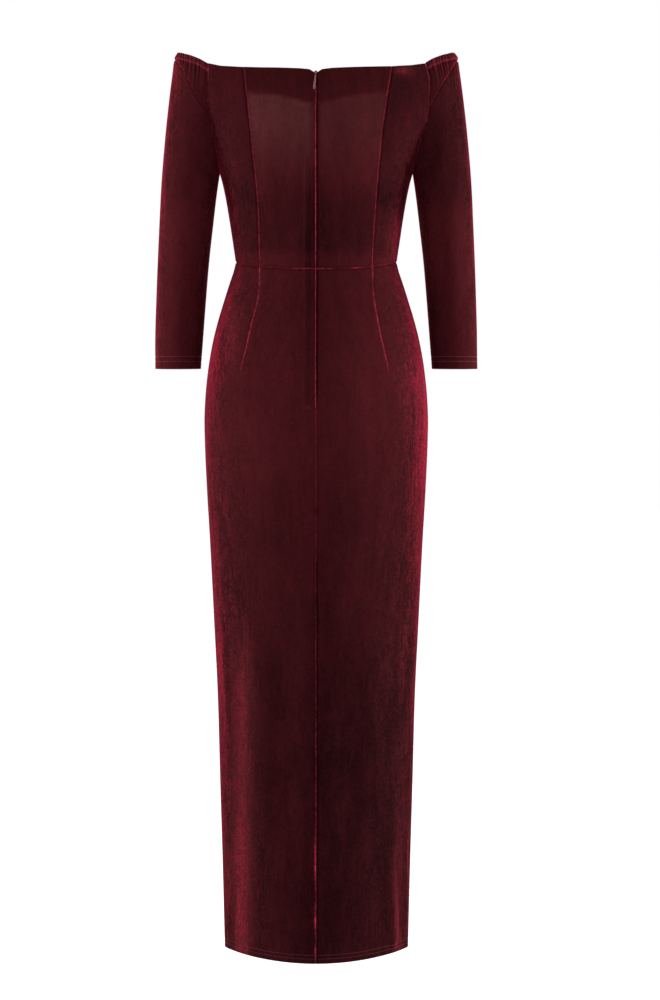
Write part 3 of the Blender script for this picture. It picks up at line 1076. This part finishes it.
def row_of(piece, edge, distance):
    """The run of surface points at one distance from an edge, interpolated between rows."""
    _, outer, e, _ = CLOTH[piece]
    d = e[edge]
    cols = outer.shape[1]
    pts = np.empty((cols, 3))
    for c in range(cols):
        order = np.argsort(d[:, c])
        for k in range(3):
            pts[c, k] = np.interp(distance, d[order, c], outer[order, c, k])
    nrm = grid_normals(outer, np.array([0, 0, 0.0]))
    r = int(np.argmin(np.abs(d[:, cols // 2] - distance)))
    return pts, nrm[r]


hem_runs = []
for p in ("skirt_back_left", "skirt_back_right", "skirt_front"):
    for at in HEM_ROWS:
        hem_runs.append(row_of(p, "top", at))
THREAD = {"hem_stitches": stitches("hem_stitches", hem_runs)}
for sd, word in SIDES:
    runs = []
    for at in CUFF_ROWS:
        pts, _ = row_of("sleeve_" + word, "bottom", at)
        centre = np.array([sd * float(sleeve_oval(-0.14)[0]), float(sleeve_oval(-0.14)[2]), 0])
        nrm = pts - centre
        nrm[:, 2] = 0
        nrm /= np.linalg.norm(nrm, axis=1, keepdims=True)
        runs.append((pts, nrm))
    THREAD["cuff_stitches_" + word] = stitches("cuff_stitches_" + word, runs)
    pts, _ = row_of("shoulder_band_" + word, "top", 0.0095)
    centre = np.stack([sd * sleeve_oval(pts[:, 2])[0], sleeve_oval(pts[:, 2])[2], pts[:, 2] - 0.03], -1)
    nrm = pts - centre
    nrm /= np.linalg.norm(nrm, axis=1, keepdims=True)
    THREAD["band_stitches_" + word] = stitches("band_stitches_" + word, [(pts, nrm)], pitch=0.0029, length=0.0023)

# ------------------------------------------------------------------ zip: tape, coil, slider, pull
PIN_Z = NOTCH_Z - 0.0015
surface_y = float(body_point(1, 0.0, PIN_Z, "bodice")[1])
PIN_Y = surface_y + 0.0018
tape_lo, tape_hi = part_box("zip_tape")
zs = np.linspace(ZIP_END_Z, NOTCH_Z - 0.0008, 120)
xs = np.array([-0.0110, -0.0107, -0.0100, -0.0080, -0.0050, -0.0034, -0.0026, -0.0018, -0.0006,
               0.0006, 0.0018, 0.0026, 0.0034, 0.0050, 0.0080, 0.0100, 0.0107, 0.0110])
X, Z = np.meshgrid(xs, zs)
WZ0 = float(waist_z(0.0))
k = bump((Z - WZ0 + 0.004) / 0.008)
Yb = np.zeros(X.shape)
for part, w in (("bodice", k), ("skirt", 1 - k)):
    a = angle_at(1, np.abs(X), Z, part)
    Yb += w * body_point(1, a, Z, part)[..., 1]
outer_t = np.stack([X, Yb - WALL - 0.0006, Z], -1)
nt = grid_normals(outer_t, np.zeros(3))
outer_t = outer_t - 0.0003 * nt * np.exp(-((X / 0.0030) ** 2))[..., None]
inner_t = outer_t - nt * 0.0007


def closed_sheet(name, outer, inner):
    R, C = outer.shape[:2]
    bm = bmesh.new()
    a = [[bm.verts.new(outer[r, c]) for c in range(C)] for r in range(R)]
    b = [[bm.verts.new(inner[r, c]) for c in range(C)] for r in range(R)]
    for r in range(R - 1):
        for c in range(C - 1):
            bm.faces.new((a[r][c], a[r][c + 1], a[r + 1][c + 1], a[r + 1][c]))
            bm.faces.new((b[r + 1][c], b[r + 1][c + 1], b[r][c + 1], b[r][c]))
    for r in range(R - 1):
        bm.faces.new((a[r + 1][0], b[r + 1][0], b[r][0], a[r][0]))
        bm.faces.new((a[r][-1], b[r][-1], b[r + 1][-1], a[r + 1][-1]))
    for c in range(C - 1):
        bm.faces.new((a[0][c], b[0][c], b[0][c + 1], a[0][c + 1]))
        bm.faces.new((a[-1][c + 1], b[-1][c + 1], b[-1][c], a[-1][c]))
    bm.normal_update()
    if bm.calc_volume(signed=True) < 0:
        bmesh.ops.reverse_faces(bm, faces=bm.faces[:])
    mesh = bpy.data.meshes.new(name)
    bm.to_mesh(mesh)
    bm.free()
    mesh.shade_smooth()
    mesh.set_sharp_from_angle(angle=math.radians(45))
    obj = bpy.data.objects.new(name, mesh)
    scene.collection.objects.link(obj)
    return obj


tape = closed_sheet("zip_tape_pair", outer_t, inner_t)

# the coil: interlocked loops of thin monofilament down the middle of the tape
COIL_PITCH = 0.0013
n_turn = int((NOTCH_Z - 0.012 - ZIP_END_Z - 0.004) / COIL_PITCH)
verts, faces = [], []
loop = [(-0.0021, 0.0), (-0.0018, -0.0008), (-0.0004, -0.0011), (0.0010, -0.0011), (0.0021, -0.0006), (0.0021, 0.0)]
for i in range(n_turn):
    z0 = ZIP_END_Z + 0.004 + i * COIL_PITCH
    sdx = 1 if i % 2 else -1
    y0 = float(np.interp(z0, zs, inner_t[:, len(xs) // 2, 1])) + 0.0001
    base = len(verts)
    for q, (lx, ly) in enumerate(loop):
        for dy, dz in ((0.0, -0.00032), (-0.00045, 0.0), (0.0, 0.00032), (0.00035, 0.0)):
            verts.append((sdx * lx, y0 + ly + dy, z0 + dz + 0.00012 * q))
    for q in range(len(loop) - 1):
        for m in range(4):
            a, b2 = base + 4 * q + m, base + 4 * q + (m + 1) % 4
            faces.append((a, b2, b2 + 4, a + 4))
    faces.append(tuple(base + m for m in (3, 2, 1, 0)))
    faces.append(tuple(base + 4 * (len(loop) - 1) + m for m in (0, 1, 2, 3)))
mesh = bpy.data.meshes.new("zip_coil")
mesh.from_pydata(verts, [], faces)
bm = bmesh.new()
bm.from_mesh(mesh)
bmesh.ops.recalc_face_normals(bm, faces=bm.faces[:])
bm.to_mesh(mesh)
bm.free()
mesh.shade_smooth()
coil = bpy.data.objects.new("zip_coil", mesh)
scene.collection.objects.link(coil)

# the pull: a slim drop-shaped plate with a rounded rim, turned on the slider's pin
PULL_LENGTH = 0.0236
tip_y = float(body_point(1, 0.0, PIN_Z - PULL_LENGTH, "bodice")[1])
LEAN = math.atan2(tip_y + 0.0005 + 0.0005 - PIN_Y, PULL_LENGTH)
PLACE = Matrix.Translation((0.0, PIN_Y, PIN_Z)) @ Euler((LEAN, -math.radians(6.5), 0.0), "XYZ").to_matrix().to_4x4()
W = Curve([(0.0006, 0.00080), (0.0030, 0.00085), (0.0065, 0.00115), (0.0120, 0.00140),
           (0.0180, 0.00150), (0.0215, 0.00138), (0.0229, 0.00092), (0.0236, 0.00030)])
bm = bmesh.new()
rings = []
stations = [0.0009, 0.0013, 0.0020, 0.0030, 0.0042, 0.0056, 0.0072, 0.0090, 0.0110, 0.0130, 0.0150, 0.0170,
            0.0188, 0.0202, 0.0213, 0.0221, 0.0227, 0.0231, 0.0234, 0.02355]
M = 20
for t in stations:
    w = float(W(t))
    half_t = 0.00045 * (1 - 0.35 * bump((t - 0.0205) / 0.0031)) * (1 - 0.5 * bump((t - 0.0231) / 0.0006))
    panel = bump((t - 0.0080) / 0.0015) * bump((0.0212 - t) / 0.0015)     # a shallow sunk field
    ring = []
    for j in range(M):
        a = 2 * math.pi * j / M
        ca, sa = math.cos(a), math.sin(a)
        x = w * math.copysign(abs(ca) ** 0.55, ca)
        y = half_t * math.copysign(abs(sa) ** 0.55, sa)
        if abs(x) < 0.62 * w:
            y *= 1 - 0.34 * panel
        ring.append(bm.verts.new((x, y, -t)))
    rings.append(ring)
for a, b2 in zip(rings, rings[1:]):
    for j in range(M):
        bm.faces.new((a[j], a[(j + 1) % M], b2[(j + 1) % M], b2[j]))
bm.faces.new(rings[0][::-1])
bm.faces.new(rings[-1])
# the eye: a short rounded barrel, open through its middle
prof = [(0.00078, -0.00078), (0.00090, -0.00090), (0.00112, -0.00090), (0.00125, -0.00076), (0.00125, 0.00076),
        (0.00112, 0.00090), (0.00090, 0.00090), (0.00078, 0.00078)]
K = 28
prev = None
bands = []
for j in range(K):
    a = 2 * math.pi * j / K
    bands.append([bm.verts.new((x, r * math.cos(a), r * math.sin(a))) for r, x in prof])
for j in range(K):
    a, b2 = bands[j], bands[(j + 1) % K]
    for q in range(len(prof)):
        q2 = (q + 1) % len(prof)
        bm.faces.new((a[q], a[q2], b2[q2], b2[q]))
bmesh.ops.recalc_face_normals(bm, faces=bm.faces[:])
bmesh.ops.transform(bm, matrix=PLACE, verts=bm.verts[:])
mesh = bpy.data.meshes.new("pull")
bm.to_mesh(mesh)
bm.free()
mesh.shade_smooth()
mesh.set_sharp_from_angle(angle=math.radians(60))
pull = bpy.data.objects.new("pull", mesh)
scene.collection.objects.link(pull)


# ------------------------------------------------------------------ materials
def nodes_of(name):
    m = bpy.data.materials.new(name)
    m.use_nodes = True
    nt = m.node_tree
    nt.nodes.clear()
    out = nt.nodes.new("ShaderNodeOutputMaterial")
    p = nt.nodes.new("ShaderNodeBsdfPrincipled")
    nt.links.new(p.outputs[0], out.inputs[0])
    return m, nt, p


class Net:
    def __init__(self, nt):
        self.nt = nt
        self.co = nt.nodes.new("ShaderNodeTexCoord").outputs["Object"]

    def link(self, value, socket):
        if isinstance(value, bpy.types.NodeSocket):
            self.nt.links.new(value, socket)
        else:
            socket.default_value = value

    def scaled(self, x, y, z):
        m = self.nt.nodes.new("ShaderNodeMapping")
        m.inputs["Scale"].default_value = (x, y, z)
        self.nt.links.new(self.co, m.inputs["Vector"])
        return m.outputs[0]

    def noise(self, scale, detail=2.0, rough=0.5, vector=None, distortion=0.0):
        n = self.nt.nodes.new("ShaderNodeTexNoise")
        n.inputs["Scale"].default_value = scale
        n.inputs["Detail"].default_value = detail
        n.inputs["Roughness"].default_value = rough
        n.inputs["Distortion"].default_value = distortion
        self.nt.links.new(vector or self.co, n.inputs["Vector"])
        return n.outputs[0]

    def math(self, op, a, b=0.0, c=0.0, clamp=False):
        n = self.nt.nodes.new("ShaderNodeMath")
        n.operation = op
        n.use_clamp = clamp
        self.link(a, n.inputs[0])
        self.link(b, n.inputs[1])
        if op in ("MULTIPLY_ADD",):
            self.link(c, n.inputs[2])
        return n.outputs[0]

    def ramp(self, value, lo, hi, a=0.0, b=1.0, smooth=True):
        n = self.nt.nodes.new("ShaderNodeMapRange")
        n.interpolation_type = "SMOOTHSTEP" if smooth else "LINEAR"
        for k, v in (("From Min", lo), ("From Max", hi), ("To Min", a), ("To Max", b)):
            n.inputs[k].default_value = v
        self.nt.links.new(value, n.inputs["Value"])
        return n.outputs[0]

    def mix(self, t, a, b):
        n = self.nt.nodes.new("ShaderNodeMix")
        n.data_type = "RGBA"
        self.link(t, n.inputs[0])
        for v, s in ((a, n.inputs[6]), (b, n.inputs[7])):
            if isinstance(v, tuple):
                s.default_value = (*v, 1.0)
            else:
                self.nt.links.new(v, s)
        return n.outputs[2]

    def times(self, colour, value):
        n = self.nt.nodes.new("ShaderNodeVectorMath")
        n.operation = "SCALE"
        self.nt.links.new(colour, n.inputs[0])
        self.link(value, n.inputs["Scale"])
        return n.outputs[0]

    def attr(self, name):
        n = self.nt.nodes.new("ShaderNodeAttribute")
        n.attribute_type = "GEOMETRY"
        n.attribute_name = name
        return n.outputs["Fac"]

    def grazing(self):
        n = self.nt.nodes.new("ShaderNodeLayerWeight")
        n.inputs["Blend"].default_value = 0.5
        return n.outputs["Facing"]

    def bump(self, height, strength, distance, normal=None):
        n = self.nt.nodes.new("ShaderNodeBump")
        n.inputs["Strength"].default_value = strength
        n.inputs["Distance"].default_value = distance
        self.nt.links.new(height, n.inputs["Height"])
        if normal is not None:
            self.nt.links.new(normal, n.inputs["Normal"])
        return n.outputs[0]


def velvet():
    m, nt, p = nodes_of("velvet")
    g = Net(nt)
    fine = g.noise(900, 2.0, 0.6)                                   # single tufts
    grain = g.noise(300, 3.0, 0.65)                                 # speckle of the nap
    streak = g.noise(330, 3.0, 0.6, g.scaled(1.0, 1.0, 0.10))       # lengthwise streaks
    wide = g.noise(60, 3.0, 0.6, g.scaled(1.0, 1.0, 0.22))          # brushed bands
    cloud = g.noise(14, 3.0, 0.55, g.scaled(1.0, 1.0, 0.6))         # slow mottling
    seam, nap, pale, rim = (g.attr(k) for k in ATTRS)

    mottle = g.noise(150, 4.0, 0.7, g.scaled(1.0, 1.0, 0.6))        # tufts that lie together
    graze = g.grazing()
    speck = g.math("MULTIPLY_ADD", grain, 0.46, g.math("MULTIPLY_ADD", streak, 0.26, g.math("MULTIPLY", fine, 0.28)))
    spread = lambda v, amount: g.ramp(v, 0.32, 0.68, -amount, amount)
    tone = g.math("ADD", spread(speck, 0.19), spread(mottle, 0.06))
    bands = g.math("ADD", spread(wide, 0.08), spread(cloud, 0.07))
    hair = g.noise(2400, 2.0, 0.6, g.scaled(1.0, 1.0, 0.6))         # single tufts, close to
    tone = g.math("ADD", tone, spread(hair, 0.16))
    # lighter zones and the turning sides are more broken up
    uneven = g.math("MULTIPLY_ADD", g.math("MAXIMUM", nap, 0.0), 2.2, g.ramp(graze, 0.06, 0.45, 1.0, 2.6))
    tone = g.math("ADD", g.math("MULTIPLY", tone, uneven), g.math("MULTIPLY_ADD", nap, 0.85, g.math("ADD", bands, 1.0)))
    tone = g.math("MAXIMUM", tone, 0.16)

    dark = (0.0385, 0.0043, 0.0060)
    colour = g.mix(pale, dark, (0.0600, 0.0130, 0.0145))
    colour = g.times(colour, tone)
    # grazing pile: the lit tips show, in a ragged band that is wider where the rim is stronger
    tuft = g.noise(520, 2.0, 0.7, g.scaled(1.0, 1.0, 0.45))
    edge = g.math("MULTIPLY_ADD", rim, 0.24, g.math("SUBTRACT", graze, 0.24))
    edge = g.math("ADD", edge, g.math("ADD", spread(speck, 0.15), g.math("ADD", spread(mottle, 0.05), spread(wide, 0.07))))
    lit = g.math("MULTIPLY", g.ramp(edge, 0.32, 1.08), rim)
    lit = g.math("MULTIPLY", lit, g.ramp(tuft, 0.34, 0.66, 0.35, 1.65))
    lit = g.math("MULTIPLY", lit, g.ramp(graze, 0.66, 0.98, 1.0, 0.42))
    # brushed-up places glint in the same way
    lit = g.math("ADD", lit, g.math("MULTIPLY", g.math("MAXIMUM", g.math("SUBTRACT", nap, 0.24), 0.0), g.ramp(tuft, 0.42, 0.64, 0.0, 1.35)))
    colour = g.mix(g.math("MULTIPLY", lit, 0.34, clamp=True), colour, (0.47, 0.012, 0.048))
    broken = g.noise(150, 3.0, 0.7)
    worn = g.math("MULTIPLY", g.ramp(broken, 0.38, 0.62, 0.35, 1.15), g.ramp(cloud, 0.34, 0.60, 0.55, 1.0))
    colour = g.mix(g.math("MULTIPLY", seam, worn, clamp=True), colour, (0.360, 0.022, 0.050))
    nt.links.new(colour, p.inputs["Base Color"])
    p.inputs["Roughness"].default_value = 0.86
    p.inputs["Specular IOR Level"].default_value = 0.02
    p.inputs["Sheen Weight"].default_value = 0.27
    p.inputs["Sheen Roughness"].default_value = 0.25
    p.inputs["Sheen Tint"].default_value = (0.85, 0.035, 0.10, 1.0)
    h = g.math("ADD", g.math("MULTIPLY", fine, 0.4), g.math("MULTIPLY_ADD", streak, 0.3, g.math("MULTIPLY", hair, 0.3)))
    nt.links.new(g.bump(h, 0.55, 0.0006), p.inputs["Normal"])
    return m


def knit_back():
    m, nt, p = nodes_of("velvet_back")
    g = Net(nt)
    rib = nt.nodes.new("ShaderNodeTexWave")
    rib.wave_type, rib.bands_direction = "BANDS", "DIAGONAL"
    rib.inputs["Scale"].default_value = 260
    rib.inputs["Distortion"].default_value = 0.6
    nt.links.new(g.co, rib.inputs["Vector"])
    n = g.noise(240, 2.0)
    c = g.mix(g.math("MULTIPLY", rib.outputs["Fac"], 0.6), (0.060, 0.0085, 0.013), (0.105, 0.016, 0.025))
    c = g.times(c, g.ramp(n, 0.2, 0.8, 0.75, 1.2))
    nt.links.new(c, p.inputs["Base Color"])
    p.inputs["Roughness"].default_value = 0.8
    p.inputs["Specular IOR Level"].default_value = 0.25
    p.inputs["Sheen Weight"].default_value = 0.15
    p.inputs["Sheen Roughness"].default_value = 0.5
    p.inputs["Sheen Tint"].default_value = (0.8, 0.2, 0.3, 1.0)
    nt.links.new(g.bump(rib.outputs["Fac"], 0.5, 0.0003), p.inputs["Normal"])
    return m


def thread(name, low, high):
    m, nt, p = nodes_of(name)
    g = Net(nt)
    n = g.noise(1400, 1.0)
    c = g.mix(n, low, high)
    nt.links.new(c, p.inputs["Base Color"])
    p.inputs["Roughness"].default_value = 0.5
    p.inputs["Specular IOR Level"].default_value = 0.2
    nt.links.new(g.bump(n, 0.4, 0.0002), p.inputs["Normal"])
    return m


def tape_cloth():
    m, nt, p = nodes_of("zip_tape")
    g = Net(nt)
    w = nt.nodes.new("ShaderNodeTexWave")
    w.bands_direction = "Z"
    w.inputs["Scale"].default_value = 420
    nt.links.new(g.co, w.inputs["Vector"])
    c = g.mix(w.outputs["Fac"], (0.045, 0.006, 0.012), (0.085, 0.013, 0.022))
    c = g.times(c, g.ramp(g.noise(500), 0.2, 0.8, 0.8, 1.15))
    nt.links.new(c, p.inputs["Base Color"])
    p.inputs["Roughness"].default_value = 0.7
    nt.links.new(g.bump(w.outputs["Fac"], 0.5, 0.0002), p.inputs["Normal"])
    return m


def painted_metal(name, low, high, rough):
    m, nt, p = nodes_of(name)
    g = Net(nt)
    n = g.noise(2600, 2.0)
    wear = g.noise(420, 3.0)
    c = g.mix(g.ramp(wear, 0.35, 0.75), low, high)
    nt.links.new(c, p.inputs["Base Color"])
    nt.links.new(g.ramp(wear, 0.2, 0.8, rough - 0.06, rough + 0.10), p.inputs["Roughness"])
    p.inputs["Metallic"].default_value = 0.35
    p.inputs["Coat Weight"].default_value = 0.4
    p.inputs["Coat Roughness"].default_value = 0.25
    nt.links.new(g.bump(n, 0.12, 0.00005), p.inputs["Normal"])
    return m


VELVET, BACK, TAPE = velvet(), knit_back(), tape_cloth()
THREADM = thread("thread", (0.12, 0.016, 0.026), (0.28, 0.045, 0.068))
HEM_THREAD = thread("hem_thread", (0.055, 0.008, 0.012), (0.120, 0.016, 0.026))    # sunk deeper in the pile
METAL = painted_metal("zip_paint", (0.125, 0.024, 0.040), (0.200, 0.048, 0.070), 0.36)
COILM = painted_metal("zip_coil_nylon", (0.060, 0.008, 0.016), (0.090, 0.014, 0.026), 0.42)
COILM.node_tree.nodes["Principled BSDF"].inputs["Metallic"].default_value = 0.0

for name, (obj, outer, e, area) in CLOTH.items():
    obj.data.materials.append(VELVET)
    obj.data.materials.append(BACK)
    obj.name = name + "_cloth"
    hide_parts(name)
    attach(obj, "dress")
for name, obj in THREAD.items():
    obj.data.materials.append(THREADM if name.startswith("cuff") else HEM_THREAD)
    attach(obj, "dress")
tape.data.materials.append(TAPE)
coil.data.materials.append(COILM)
pull.data.materials.append(METAL)
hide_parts("zip_tape")
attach(tape, "dress")
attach(coil, "dress")
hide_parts("zip_pull_tab")
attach(pull, "zip_pull")
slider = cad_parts["zip_slider"]
slider.data.materials.clear()
slider.data.materials.append(METAL)

# ------------------------------------------------------------------ the cut of each piece
CUT = {  # width, length of the flat piece that shows, and how it is held
    "bodice_back_center_left": ("stretched", ["zip_tape_pair"]),
    "bodice_back_center_right": ("stretched", ["zip_tape_pair"]),
    "bodice_back_side_left": ("stretched", ["bodice_back_center_left_cloth"]),
    "bodice_back_side_right": ("stretched", ["bodice_back_center_right_cloth"]),
    "bodice_front": ("stretched", ["bodice_back_side_left_cloth", "bodice_back_side_right_cloth"]),
    "skirt_back_left": ("hung", ["bodice_back_center_left_cloth"]),
    "skirt_back_right": ("hung", ["bodice_back_center_right_cloth"]),
    "skirt_front": ("hung", ["bodice_front_cloth"]),
    "sleeve_left": ("hung", ["shoulder_band_left_cloth"]),
    "sleeve_right": ("hung", ["shoulder_band_right_cloth"]),
    "shoulder_band_left": ("gathered", ["bodice_front_cloth"]),
    "shoulder_band_right": ("gathered", ["bodice_front_cloth"]),
}
for name, (held, rests) in CUT.items():
    obj, outer, e, area = CLOTH[name]
    width = float(e["left"][:, -1].max())
    cut_area = area
    if held == "gathered":      # drawn up on elastic from a longer strip, widest along the neck
        width = float(e["left"][-1, -1])
        width, cut_area = width * 1.25, area * 1.25
tape_area = 0.022 * (NOTCH_Z - ZIP_END_Z)


# ------------------------------------------------------------------ floor, light, world
def studio():
    # one pale sweep: floor under the gown, running out level on every side
    R, z = 14.0, HEM_Z - 0.055
    bm = bmesh.new()
    bmesh.ops.create_circle(bm, cap_ends=True, segments=96, radius=R)
    for v in bm.verts:
        v.co.z = z
    mesh = bpy.data.meshes.new("floor")
    bm.to_mesh(mesh)
    bm.free()
    floor = bpy.data.objects.new("floor", mesh)
    scene.collection.objects.link(floor)
    m, nt, p = nodes_of("floor")
    p.inputs["Base Color"].default_value = (0.30, 0.30, 0.30, 1.0)
    p.inputs["Roughness"].default_value = 0.9
    p.inputs["Emission Color"].default_value = (1.0, 1.0, 1.0, 1.0)
    p.inputs["Emission Strength"].default_value = 0.97
    mesh.materials.append(m)

    world = bpy.data.worlds.new("world")
    scene.world = world
    world.use_nodes = True
    # white behind the gown, and a weaker fill on it
    tree = world.node_tree
    bg = tree.nodes["Background"]
    bg.inputs[0].default_value = (1.0, 1.0, 1.0, 1.0)
    path = tree.nodes.new("ShaderNodeLightPath")
    level = tree.nodes.new("ShaderNodeMapRange")
    level.inputs["To Min"].default_value = 0.40
    level.inputs["To Max"].default_value = 1.0
    tree.links.new(path.outputs["Is Camera Ray"], level.inputs["Value"])
    tree.links.new(level.outputs[0], bg.inputs[1])

    def softbox(name, place, target, size, watts, tint=(1.0, 1.0, 1.0)):
        d = bpy.data.lights.new(name, "AREA")
        d.shape = "RECTANGLE"
        d.size, d.size_y = size
        d.energy = watts
        d.color = tint
        o = bpy.data.objects.new(name, d)
        o.location = place
        o.rotation_euler = (Vector(target) - Vector(place)).to_track_quat("-Z", "Y").to_euler()
        scene.collection.objects.link(o)

    softbox("soft_left", (2.6, 0.2, 0.2), (0, 0, -0.3), (0.8, 2.6), 80)
    softbox("soft_right", (-2.6, 0.2, 0.2), (0, 0, -0.3), (0.8, 2.6), 110)
    softbox("soft_front", (0.8, 3.4, 1.8), (0, 0, -0.2), (1.2, 1.2), 30)
    scene.view_settings.view_transform = "Standard"
    scene.view_settings.look = "None"
    scene.view_settings.exposure = 0.0


studio()
